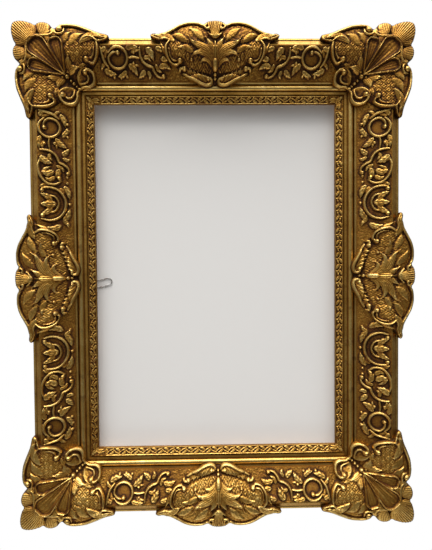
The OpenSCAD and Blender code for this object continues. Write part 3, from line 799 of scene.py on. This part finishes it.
def carve_run(half, long):
    """Scrollwork of one panel, drawn with x as the distance from the corner of the opening."""
    board = Board(-41, half - 32, 42.8, 105.2)
    punched(board, 37 if long else 31, size=0.5, depth=0.34)
    leaves(board, [
        ([(26, 63), (38, 56), (50, 54)], 6.2, 5.6), ([(70, 60), (62, 53), (52, 50)], 5.4, 5.0),
        ([(74, 72), (84, 64), (92, 52)], 6.4, 5.4), ([(70, 98), (80, 102), (94, 101)], 5.4, 4.8),
        ([(32, 100), (24, 96), (20, 88)], 5.4, 5.0), ([(80, 92), (88, 96), (96, 96)], 3.8, 4.2),
        ([(110, 100), (118, 92), (124, 79)], 7.2, 6.4), ([(107, 61), (101, 54), (94, 48)], 5.8, 5.2),
        ([(134, 66), (146, 69), (158, 63)], 6.0, 5.2), ([(104, 82), (112, 84), (118, 78)], 4.0, 4.2),
        ([(78, 66), (86, 70), (94, 70)], 3.6, 3.8), ([(28, 82), (30, 90), (34, 97)], 3.4, 3.8),
        ([(62, 100), (56, 104), (44, 103)], 3.4, 3.6), ([(112, 60), (116, 52), (114, 46)], 4.2, 4.2),
        ([(128, 72), (132, 62), (140, 58)], 4.0, 4.2), ([(32, 74), (24, 70), (20, 62)], 4.0, 4.0)])
    scrolls(board, [[(20, 101), (23, 88), (27, 76), (35, 66)]], 3.2, 6.0)
    scroll_ring(board, 53, 82, 20.5, 150, -1)
    ridge(board, [(74, 83), (84, 84.5), (95, 83)], 2.2, 4.4, taper=0.2)
    berries(board, [(45, 49.5, 3.2), (84, 74, 3.0), (85, 92, 2.8), (58, 48, 2.6), (70, 50, 2.6)])
    scrolls(board, [
        [(97, 100), (98, 87), (103, 76), (112, 69.5), (121, 66), (125, 58), (131, 51), (139, 48)]], *SCROLL)
    ball(board, 143, 50.5, 4.4, 6.8)
    if long:
        leaves(board, [
            ([(204, 72), (204, 86), (204, 101)], 8.0, 6.4), ([(199, 80), (188, 90), (183, 101)], 6.0, 5.4),
            ([(209, 80), (220, 90), (225, 101)], 6.0, 5.4), ([(138, 76), (144, 87), (140, 98)], 7.0, 5.8),
            ([(168, 58), (180, 51), (193, 48)], 6.0, 5.2), ([(238, 60), (227, 52), (214, 48)], 6.0, 5.2),
            ([(246, 64), (253, 78), (250, 94)], 6.6, 5.4), ([(150, 74), (156, 84), (152, 92)], 5.0, 4.8),
            ([(170, 84), (166, 94), (170, 102)], 4.0, 4.2), ([(172, 66), (178, 60), (186, 58)], 3.6, 3.8),
            ([(236, 62), (242, 54), (250, 50)], 4.4, 4.2), ([(148, 98), (136, 92), (130, 82)], 4.4, 4.4)])
        scrolls(board, [
            [(117, 101), (128, 104), (142, 102.5), (155, 96), (163.5, 86), (164.5, 73), (158, 63)],
            [(172, 98), (171, 83), (176, 69), (188, 59), (203, 55), (219, 58), (231, 68), (236.5, 84),
             (233, 99)]], *SCROLL)
        ridge(board, [(186, 86), (190, 74), (203, 68), (217, 74), (221, 86)], 2.2, 4.8)
        berries(board, [
            (153.5, 66, 4.4), (177, 97.5, 4.2), (227, 97.5, 4.2), (186, 88, 3.0), (221, 88, 3.0),
            (150, 52, 2.8), (204, 48, 3.0), (162, 52, 2.6), (244, 52, 2.8)])
    else:
        leaves(board, [
            ([(138, 80), (150, 82), (157, 94)], 6.4, 5.4), ([(128, 100), (138, 98), (148, 92)], 5.0, 4.6)])
    plane = PANEL_BASE + (board.y - PANEL_IN) * math.tan(PANEL_TILT)
    height = plane + PANEL_GROUND + np.maximum(blur(board.r, 0.75), -1.5)
    return board, height, plane


def cut_run(name, half, long):
    """Solid of one panel, cut where the shell and the cartouche lie over it."""
    board, height, plane = carve_run(half, long)
    tan = math.tan(PANEL_TILT)
    solid = slab(name, board, height, lambda x, y: PANEL_BASE + SEAT_GAP + (y - PANEL_IN) * tan)
    shell = prism("shell_cutter", grown(shell_line, CASTING_GAP) * (-1, 1), 0, CUTTER_TOP)
    middle = grown(cartouche_line, CASTING_GAP) * (-1, 1) + (half, 0)
    middle = prism("cartouche_cutter", middle, 0, CUTTER_TOP)
    cut(solid, shell, "DIFFERENCE")
    cut(solid, middle, "DIFFERENCE")
    drop(shell, middle)
    mark_hollows(solid, board, hollows(board, height - plane))
    return solid


short_solid = cut_run("panel_short", HALF_W, False)
long_solid = cut_run("panel_long", HALF_H, True)
print("panels", len(short_solid.data.polygons), "and", len(long_solid.data.polygons), "faces")

# %% [markdown]
# ## The slip
# The sight slip has a running leaf scroll in low relief. One wave is carved and repeated over the
# length of each arm. A small leaf lies over each corner joint.

# %% Carve the slip and its corner leaves
SLIP_IN = 0.3
SLIP_OUT = 15.7
LEAF_ARM = 15
WAVE = 25


def slip_under(u):
    """Height of the hollow that the slip lies in."""
    return 18 + u * 0.375


def carve_wave():
    """Board with one wave of the stem, its two leaves and its berries."""
    board = Board(0, WAVE, SLIP_IN, SLIP_OUT, step=SLIP_STEP)
    wave = []
    for i in range(17):
        turn = 2 * math.pi * (i - 2) / 12
        wave.append((-2 * WAVE / 12 + i * WAVE / 12, 8 + 3.6 * math.sin(turn)))
    ridge(board, wave, 1.1, 2.0, taper=0)
    for shift in (-WAVE, 0, WAVE):
        leaf(board, [(shift + 2, 9), (shift + 7, 4.5), (shift + 12, 3.4)], 3.0, 2.8)
        leaf(board, [(shift + 14.5, 7), (shift + 19.5, 11.5), (shift + 24.5, 12.6)], 3.0, 2.8)
        for x, y in ((8, 9.8), (20.5, 6.2), (3.5, 12.2), (16, 3.6)):
            ball(board, shift + x, y, 1.5, 2.3)
    edge = np.minimum(board.y - SLIP_IN, SLIP_OUT - board.y)
    board.r = np.maximum(board.r, 1.8 * bump((edge - 0.9) / 0.9))
    return board


def slip_run(name, half):
    """Slip arm between its corner leaves."""
    wave = carve_wave()
    reach = half - LEAF_ARM
    board = Board(-reach, reach, SLIP_IN, SLIP_OUT, step=SLIP_STEP)
    board.r = sampled(wave, wave.r, np.mod(board.x, WAVE), board.y)
    height = slip_under(board.y) + 1.6 + board.r
    solid = slab(name, board, height, lambda x, y: slip_under(y) + SEAT_GAP)
    mark_hollows(solid, board, hollows(board, height - slip_under(board.y)))
    return solid


def slip_leaf():
    """Small leaf over a corner of the slip, drawn with both arms of the corner negative."""
    board = Board(-LEAF_ARM, SLIP_OUT, -LEAF_ARM, SLIP_OUT, step=LEAF_STEP)
    for turned in (False, True):
        for keys, size in (([(5, 5), (-2, 9), (-12, 8)], 3.6), ([(4, 4), (-3, 5), (-10, 3.4)], 2.4)):
            leaf(board, [(y, x) if turned else (x, y) for x, y in keys], size, 2.3, lobes=4)
    leaf(board, [(1, 1), (7, 7), (14.5, 14.5)], 4.4, 2.5)
    ball(board, 3.4, 3.4, 1.7, 2.5)
    u = np.maximum(board.x, board.y)
    punched(board, 5, size=0.6, depth=0.2)
    height = slip_under(u) + 1.9 + board.r
    solid = slab("slip_leaf", board, height, lambda x, y: slip_under(np.maximum(x, y)) + SEAT_GAP)
    arm = -LEAF_ARM
    corner = prism("leaf_cutter", [(arm, SLIP_IN), (SLIP_IN, SLIP_IN), (SLIP_IN, arm), (SLIP_OUT, arm),
                                   (SLIP_OUT, SLIP_OUT), (arm, SLIP_OUT)], 0, CUTTER_TOP)
    cut(solid, corner, "INTERSECT")
    drop(corner)
    mark_hollows(solid, board, hollows(board, height - slip_under(u)))
    return solid


slip_solids = {0: slip_run("slip_short", HALF_W), 1: slip_run("slip_long", HALF_H)}
leaf_solid = slip_leaf()
print("slip", [len(s.data.polygons) for s in slip_solids.values()], "leaf", len(leaf_solid.data.polygons))

# %% [markdown]
# ## Helpers for shaders
# These build shader nodes in one line each. A value may be a plain number or the output of
# another node.

# %% Helpers for shader nodes
def new_group(name, inputs, outputs):
    """Empty shader group with its sockets."""
    group = bpy.data.node_groups.new(name, "ShaderNodeTree")
    for title, kind, value in inputs:
        made = group.interface.new_socket(title, in_out="INPUT", socket_type=kind)
        if value is not None:
            made.default_value = value
    for title, kind in outputs:
        group.interface.new_socket(title, in_out="OUTPUT", socket_type=kind)
    return group, group.nodes.new("NodeGroupInput"), group.nodes.new("NodeGroupOutput")


def add(tree, kind, **settings):
    """New node with its settings and the values of its input sockets by number or name."""
    node = tree.nodes.new(kind)
    for key, value in settings.pop("inputs", {}).items():
        if isinstance(value, bpy.types.NodeSocket):
            tree.links.new(value, node.inputs[key])
        else:
            node.inputs[key].default_value = value
    for key, value in settings.items():
        setattr(node, key, value)
    return node


def maths(tree, operation, a, b=0.0, clamp=False):
    """Output of a math node."""
    node = add(tree, "ShaderNodeMath", operation=operation, use_clamp=clamp)
    for i, value in enumerate((a, b)):
        if isinstance(value, bpy.types.NodeSocket):
            tree.links.new(value, node.inputs[i])
        else:
            node.inputs[i].default_value = value
    return node.outputs[0]


def scaled(tree, value, times, plus):
    """Value times a number, plus a number."""
    node = maths(tree, "MULTIPLY_ADD", value, times).node
    node.inputs[2].default_value = plus
    return node.outputs[0]


def ramp(tree, factor, stops):
    """Output of a colour ramp whose stops are greys or colours."""
    node = add(tree, "ShaderNodeValToRGB", inputs={0: factor})
    marks = node.color_ramp.elements
    while len(marks) < len(stops):
        marks.new(0.5)
    for mark, (at, colour) in zip(marks, stops):
        mark.position = at
        mark.color = (*colour, 1) if isinstance(colour, tuple) else (colour, colour, colour, 1)
    return node.outputs[0]


def noise(tree, where, scale, detail=3.0, rough=0.6):
    """Output of a noise texture, scaled in features per metre."""
    settings = {"Vector": where, "Scale": scale, "Detail": detail, "Roughness": rough}
    return add(tree, "ShaderNodeTexNoise", inputs=settings).outputs["Fac"]


def mixed(tree, factor, a, b):
    """Colour a turned into colour b by a factor."""
    node = add(tree, "ShaderNodeMix", data_type="RGBA")
    for key, value in ((0, factor), (6, a), (7, b)):
        if isinstance(value, bpy.types.NodeSocket):
            tree.links.new(value, node.inputs[key])
        else:
            node.inputs[key].default_value = value
    return node.outputs[2]


print("shader helpers ready")

# %% [markdown]
# ## Old gold
# Leaf over red bole has gone dark in the hollows and is rubbed pale on the ridges. One node group
# turns the height of a point, from -1 in a hollow to 1 on a ridge, into colour, metal and
# roughness. It reads positions in metres, so grain keeps its real size on every piece.

# %% Node group for worn gold
gold, gold_in, gold_out = new_group(
    "worn_gold", [("Position", "NodeSocketVector", None), ("Height", "NodeSocketFloat", 0.0)],
    [("Color", "NodeSocketColor"), ("Metallic", "NodeSocketFloat"), ("Roughness", "NodeSocketFloat"),
     ("Bump", "NodeSocketFloat")])
where = gold_in.outputs["Position"]
cloud = maths(gold, "SUBTRACT", noise(gold, where, 28.0), 0.5)
grain = maths(gold, "SUBTRACT", noise(gold, where, 420.0, 2.0), 0.5)
tone = ramp(gold, scaled(gold, gold_in.outputs["Height"], 0.5, 0.5), [(0.0, 0.0), (0.5, 0.5), (1.0, 0.80)])
level = scaled(gold, tone, 2.0, -1.0)
level = maths(gold, "ADD", level, maths(gold, "MULTIPLY", cloud, 0.8))
level = maths(gold, "ADD", level, maths(gold, "MULTIPLY", grain, 0.6))
level = scaled(gold, level, 0.5, 0.5)
colour = ramp(gold, level, [
    (0.03, (0.035, 0.012, 0.002)), (0.22, (0.12, 0.045, 0.008)), (0.42, (0.31, 0.14, 0.023)),
    (0.60, (0.50, 0.27, 0.054)), (0.82, (0.72, 0.49, 0.15)), (0.98, (0.88, 0.70, 0.33))])
bole = ramp(gold, noise(gold, where, 55.0, 4.0), [(0.56, 0.0), (0.70, 0.55)])
colour = mixed(gold, bole, colour, (0.17, 0.052, 0.018, 1))
gold.links.new(colour, gold_out.inputs["Color"])
gold.links.new(ramp(gold, level, [(0.10, 0.45), (0.45, 1.0)]), gold_out.inputs["Metallic"])
shine = ramp(gold, level, [(0.15, 0.62), (0.85, 0.30)])
shine = maths(gold, "ADD", shine, maths(gold, "MULTIPLY", cloud, 0.2))
gold.links.new(shine, gold_out.inputs["Roughness"])
gold.links.new(maths(gold, "ADD", grain, maths(gold, "MULTIPLY", cloud, 0.6)), gold_out.inputs["Bump"])
print("worn gold group has", len(gold.nodes), "nodes")

# %% [markdown]
# ## Gilding of the carved pieces
# The castings, panels and slip take the height from the "relief" attribute. The panels and the slip are a
# little darker than the castings, and the castings carry painted shade that darkens them toward the top of
# the frame.

# %% Materials of the carved pieces
def new_material(name):
    """Material with its node tree, its shader and the object coordinates in metres."""
    material = bpy.data.materials.new(name)
    material.use_nodes = True
    tree = material.node_tree
    shader = tree.nodes["Principled BSDF"]
    shader.inputs["Specular IOR Level"].default_value = 0.25
    place = add(tree, "ShaderNodeTexCoord").outputs["Object"]
    return material, tree, shader, place


def gild(tree, shader, place, height, bump_size):
    """Join the worn gold group to a shader and return the group node."""
    group = add(tree, "ShaderNodeGroup", node_tree=gold)
    tree.links.new(place, group.inputs["Position"])
    tree.links.new(height, group.inputs["Height"])
    relief = add(tree, "ShaderNodeBump", inputs={"Height": group.outputs["Bump"], "Distance": bump_size,
                                                 "Strength": 0.8})
    for title in ("Metallic", "Roughness"):
        tree.links.new(group.outputs[title], shader.inputs[title])
    tree.links.new(group.outputs["Color"], shader.inputs["Base Color"])
    tree.links.new(relief.outputs[0], shader.inputs["Normal"])
    return group


def casting_material(name, lift, painted_top_shade=0.0):
    """Gilding toned by the relief, with painted shade that darkens it toward the top of the frame."""
    material, tree, shader, place = new_material(name)
    attribute = add(tree, "ShaderNodeAttribute", attribute_name="relief")
    height = maths(tree, "ADD", attribute.outputs["Fac"], lift)
    up = add(tree, "ShaderNodeSeparateXYZ", inputs={0: place}).outputs["Z"]
    # painted shade: the higher a point stands on the frame, the darker its gold is toned
    height = maths(tree, "SUBTRACT", height, maths(tree, "MULTIPLY", up, painted_top_shade))
    gild(tree, shader, place, height, 0.0006)
    return material


casting_gold = casting_material("casting_gold", 0.0, painted_top_shade=0.5)
panel_gold = casting_material("panel_gold", -0.1)
slip_gold = casting_material("slip_gold", -0.1)
print("gilding", casting_gold.name, panel_gold.name, slip_gold.name)

# %% [markdown]
# ## Finish of the rails
# The rails take the wear of the gold from how far out they lie: dark quirks, burnished beads and
# a sanded outer strip. Their back and rebate are bare wood, with the grain along each rail.

# %% Materials of the rails
def outward(tree, place):
    """Distance outward from the sight edge in metres, on any side."""
    split = add(tree, "ShaderNodeSeparateXYZ", inputs={0: place})
    across = maths(tree, "SUBTRACT", maths(tree, "ABSOLUTE", split.outputs["X"]), HALF_W * MM)
    up = maths(tree, "SUBTRACT", maths(tree, "ABSOLUTE", split.outputs["Z"]), HALF_H * MM)
    return maths(tree, "MAXIMUM", across, up), split.outputs["Y"]


wood, wood_in, wood_out = new_group(
    "bare_wood", [("Position", "NodeSocketVector", None)], [("Color", "NodeSocketColor")])
stretch = add(wood, "ShaderNodeMapping", inputs={"Vector": wood_in.outputs["Position"], "Scale": (1, 9, 9)})
fibre = noise(wood, stretch.outputs[0], 30.0, 6.0, 0.65)
stain = noise(wood, wood_in.outputs["Position"], 9.0, 4.0)
tone = ramp(wood, fibre, [
    (0.30, (0.19, 0.105, 0.05)), (0.55, (0.36, 0.22, 0.115)), (0.75, (0.50, 0.33, 0.19))])
wood.links.new(mixed(wood, ramp(wood, stain, [(0.45, 0.0), (0.75, 0.6)]), tone, (0.13, 0.075, 0.04, 1)),
               wood_out.inputs["Color"])

# how worn the gold is, from -1 in a quirk to 1 on a bead, at distances outward in millimetres
BAND_SPAN = 130
WEAR = [(0, -0.1), (14, -0.1), (16.2, -0.8), (17.8, 0.1), (20.5, 0.5), (23, 0.3), (24.4, -0.8), (25.6, 0.4),
        (28, 1.0), (30.5, 1.0), (33.5, 1.0), (35.4, 0.5), (36.6, -0.8), (37.8, 0.6), (39.6, 0.9), (41.4, 0.7),
        (42.6, -0.4), (105, -0.4), (107, 0.3), (111, 0.35), (116.2, 0.2), (117.4, -0.8), (119, 0.5),
        (120.4, 0.9), (122.5, 0.3), (124, -0.3), (BAND_SPAN, -0.3)]
SANDED = [(106, 0.0), (108, 1.0), (116, 1.0), (117, 0.0)]
BACK_SKIN = -0.0006
REBATE_DEEP = -0.0143
REBATE_WIDE = 0.0074


def rail_material(name, upright):
    """Gilding in bands from the sight edge outward, with bare wood on the back and in the rebate."""
    material, tree, shader, place = new_material(name)
    out, depth = outward(tree, place)
    along = maths(tree, "DIVIDE", out, BAND_SPAN * MM)
    bands = ramp(tree, along, [(u / BAND_SPAN, v * 0.5 + 0.5) for u, v in WEAR])
    height = scaled(tree, bands, 2.0, -1.0)
    sand = ramp(tree, along, [(u / BAND_SPAN, v) for u, v in SANDED])
    speck = maths(tree, "SUBTRACT", noise(tree, place, 700.0, 2.0), 0.5)
    speck = maths(tree, "MULTIPLY", speck, maths(tree, "MULTIPLY", sand, 2.2))
    height = maths(tree, "ADD", height, speck)
    group = gild(tree, shader, place, height, 0.0004)
    turned = add(tree, "ShaderNodeMapping", inputs={"Vector": place})
    turned.inputs["Rotation"].default_value = (0, math.radians(90), 0) if upright else (0, 0, 0)
    board = add(tree, "ShaderNodeGroup", node_tree=wood)
    tree.links.new(turned.outputs[0], board.inputs["Position"])
    behind = maths(tree, "GREATER_THAN", depth, BACK_SKIN)
    deep = maths(tree, "GREATER_THAN", depth, REBATE_DEEP)
    rebate = maths(tree, "MULTIPLY", deep, maths(tree, "LESS_THAN", out, REBATE_WIDE))
    bare = maths(tree, "MAXIMUM", behind, rebate)
    both = mixed(tree, bare, group.outputs["Color"], board.outputs["Color"])
    tree.links.new(both, shader.inputs["Base Color"])
    metal = maths(tree, "MULTIPLY", group.outputs["Metallic"], maths(tree, "SUBTRACT", 1.0, bare))
    tree.links.new(metal, shader.inputs["Metallic"])
    rough = maths(tree, "MAXIMUM", group.outputs["Roughness"], maths(tree, "MULTIPLY", bare, 0.72))
    tree.links.new(rough, shader.inputs["Roughness"])
    return material


rail_gold = {True: rail_material("rail_gold_upright", True), False: rail_material("rail_gold_level", False)}
print("rails", [material.name for material in rail_gold.values()])

# %% [markdown]
# ## Steel and brass
# The clips, straps, rings and nails are grey steel with brown stains. The screws are dull brass.

# %% Materials of the fittings
def metal_material(name, colour, dark, roughness):
    """Bare metal with dark stains and fine scratches."""
    material, tree, shader, place = new_material(name)
    cloud = noise(tree, place, 160.0, 5.0)
    tree.links.new(mixed(tree, ramp(tree, cloud, [(0.42, 0.0), (0.66, 1.0)]), (*colour, 1), (*dark, 1)),
                   shader.inputs["Base Color"])
    shader.inputs["Metallic"].default_value = 0.9
    rough = ramp(tree, cloud, [(0.35, roughness), (0.7, roughness + 0.25)])
    tree.links.new(rough, shader.inputs["Roughness"])
    stretched = add(tree, "ShaderNodeMapping", inputs={"Vector": place, "Scale": (1, 1, 12)})
    scratch = noise(tree, stretched.outputs[0], 300.0)
    relief = add(tree, "ShaderNodeBump", inputs={"Height": scratch, "Distance": 0.0001})
    tree.links.new(relief.outputs[0], shader.inputs["Normal"])
    return material


steel = metal_material("clip_steel", (0.46, 0.45, 0.43), (0.16, 0.11, 0.08), 0.34)
brass = metal_material("screw_brass", (0.62, 0.44, 0.16), (0.20, 0.12, 0.05), 0.30)
print("materials", [m.name for m in bpy.data.materials if m.use_nodes])

# %% [markdown]
# ## Put the pieces in their places
# Each drawn solid is copied to its sides or corners. The rails, clips, screws, rings and nails
# keep the shape of the model and only get a finish.

# %% Place castings, panels and slips, and finish the carried-over pieces
MIRROR = Matrix.Scale(-1, 4, (1, 0, 0))
for k, (name, corner) in enumerate(zip(SIDES, CORNERS)):
    half = HALF_W if k % 2 == 0 else HALF_H
    panel = short_solid if k % 2 == 0 else long_solid
    side, inner = side_place(k), corner_place(k)
    first, last = SIDES[(k + 1) % 4], SIDES[(k + 3) % 4]
    right_end = side @ Matrix.Translation((half, 0, 0)) @ MIRROR
    left_end = side @ Matrix.Translation((-half, 0, 0))
    finished(corner_solid, f"shell_{corner}", inner, f"corner_shell_{corner}", casting_gold)
    finished(cartouche_solid, f"cartouche_relief_{name}", side, f"cartouche_{name}", casting_gold)
    finished(panel, f"scroll_relief_{name}_{first}", right_end, f"scroll_{name}_{first}", panel_gold)
    finished(panel, f"scroll_relief_{name}_{last}", left_end, f"scroll_{name}_{last}", panel_gold)
    finished(slip_solids[k % 2], f"slip_relief_{name}", side, f"sight_slip_{name}", slip_gold)
    finished(leaf_solid, f"slip_leaf_{corner}", inner, f"sight_leaf_{corner}", slip_gold)
drop(corner_solid, cartouche_solid, short_solid, long_solid, leaf_solid, *slip_solids.values())


def refinish(names, material, angle=40):
    """Give pieces that keep the shape of the model their finish."""
    for name in names:
        obj = bpy.data.objects[name]
        only(obj)
        bpy.ops.object.shade_smooth_by_angle(angle=math.radians(angle))
        obj.data.materials.clear()
        obj.data.materials.append(material)


refinish(["rail_left", "rail_right"], rail_gold[True])
refinish(["rail_top", "rail_bottom"], rail_gold[False])
refinish(["clip_top", "clip_right", "clip_bottom", "clip_left", "hanger_strap_left", "hanger_strap_right",
          "hanger_ring_left", "hanger_ring_right", "mitre_nails"], steel)
refinish(["clip_screws", "hanger_screws"], brass)

# %% [markdown]
# ## The stage
# The frame stands in front of white, with a pale card close behind the opening that takes its
# shadow. The card is wider than the opening all round, shows only from the front and keeps no
# light from the back of the frame. A pale floor lies well below.

# %% Card and floor
CARD_BEHIND = 0.003
CARD_SIZE = (0.59, 0.81, 1)
FLOOR_PLACE = (0, -0.9, -2.2)
FLOOR_SIZE = (2.4, 1.6, 1)


def plain(name, colour, roughness=0.9):
    """Plain matt material."""
    material = bpy.data.materials.new(name)
    material.use_nodes = True
    shader = material.node_tree.nodes["Principled BSDF"]
    shader.inputs["Base Color"].default_value = (*colour, 1)
    shader.inputs["Roughness"].default_value = roughness
    return material


card_material = plain("card_grey", (0.88, 0.86, 0.83))
tree = card_material.node_tree
behind = add(tree, "ShaderNodeNewGeometry").outputs["Backfacing"]
seen = add(tree, "ShaderNodeLightPath").outputs["Is Camera Ray"]
shown = maths(tree, "MULTIPLY", maths(tree, "SUBTRACT", 1.0, behind), seen)
tree.links.new(shown, tree.nodes["Principled BSDF"].inputs["Alpha"])
bpy.ops.mesh.primitive_plane_add(size=1, location=(0, CARD_BEHIND, 0), rotation=(math.radians(90), 0, 0))
card = bpy.context.object
card.name = "card"
card.scale = CARD_SIZE
card.data.materials.append(card_material)
bpy.ops.mesh.primitive_plane_add(size=1, location=FLOOR_PLACE)
floor = bpy.context.object
floor.name = "floor"
floor.scale = FLOOR_SIZE
floor.data.materials.append(plain("floor_pale", (0.62, 0.61, 0.59)))
print("stage", card.name, "and", floor.name)

# %% [markdown]
# ## Light
# One wide soft lamp hangs high above the camera. The room is brightest overhead, paler again below
# and dim at the height of the frame, so the gilding has something to reflect. The camera sees it
# as plain white.

# %% Lamp and room
def area_lamp(name, place, size, power):
    """Square lamp that is turned to the middle of the frame."""
    bpy.ops.object.light_add(type="AREA", location=place)
    lamp = bpy.context.object
    lamp.name = name
    lamp.data.size = size
    lamp.data.energy = power
    lamp.rotation_euler = (-Vector(place)).to_track_quat("-Z", "Y").to_euler()


area_lamp("key", (-0.6, -1.8, 4.6), 2.6, 150)

world = bpy.data.worlds.new("white_room")
bpy.context.scene.world = world
world.use_nodes = True
tree = world.node_tree
light = tree.nodes["Background"]
light.inputs["Color"].default_value = (1, 1, 1, 1)
direction = add(tree, "ShaderNodeTexCoord").outputs["Generated"]
toward = add(tree, "ShaderNodeSeparateXYZ", inputs={0: direction})
rise = scaled(tree, toward.outputs["Z"], 0.5, 0.5)
room = ramp(tree, rise, [(0.0, 0.66), (0.12, 0.24), (0.3, 0.13), (0.5, 0.13), (0.62, 0.26), (0.75, 0.74),
                         (0.87, 1.95), (1.0, 3.1)])
leftward = maths(tree, "MULTIPLY", maths(tree, "MULTIPLY", toward.outputs["X"], -1.0, clamp=True), 0.15)
room = maths(tree, "ADD", room, leftward)
path = add(tree, "ShaderNodeLightPath")
tree.links.new(maths(tree, "MAXIMUM", room, path.outputs["Is Camera Ray"]), light.inputs["Strength"])

# %% [markdown]
# ## Camera
# The camera looks nearly straight on from about a metre and a quarter, as in the photograph. Its
# place and lens were fitted to the corners of the opening and of the moulding.

# %% Camera
CAMERA_PLACE = (-0.0331, -1.251, 0.043)
CAMERA_TURN = (88.147, 0.451, -1.518)
LENS = 39.07
bpy.ops.object.camera_add(location=CAMERA_PLACE, rotation=[math.radians(v) for v in CAMERA_TURN])
camera = bpy.context.object
camera.name = "camera"
camera.data.lens = LENS
camera.data.sensor_width = 36
bpy.context.scene.camera = camera
bpy.context.scene.view_settings.view_transform = "Standard"
print("camera", tuple(round(v, 3) for v in camera.location), "lens", camera.data.lens)

# %% [markdown]
# ## Size
# The box of the model is printed, in metres.

# %% Print the size of the model and finish
print("model", [round(v, 4) for p in cad_box for v in p])
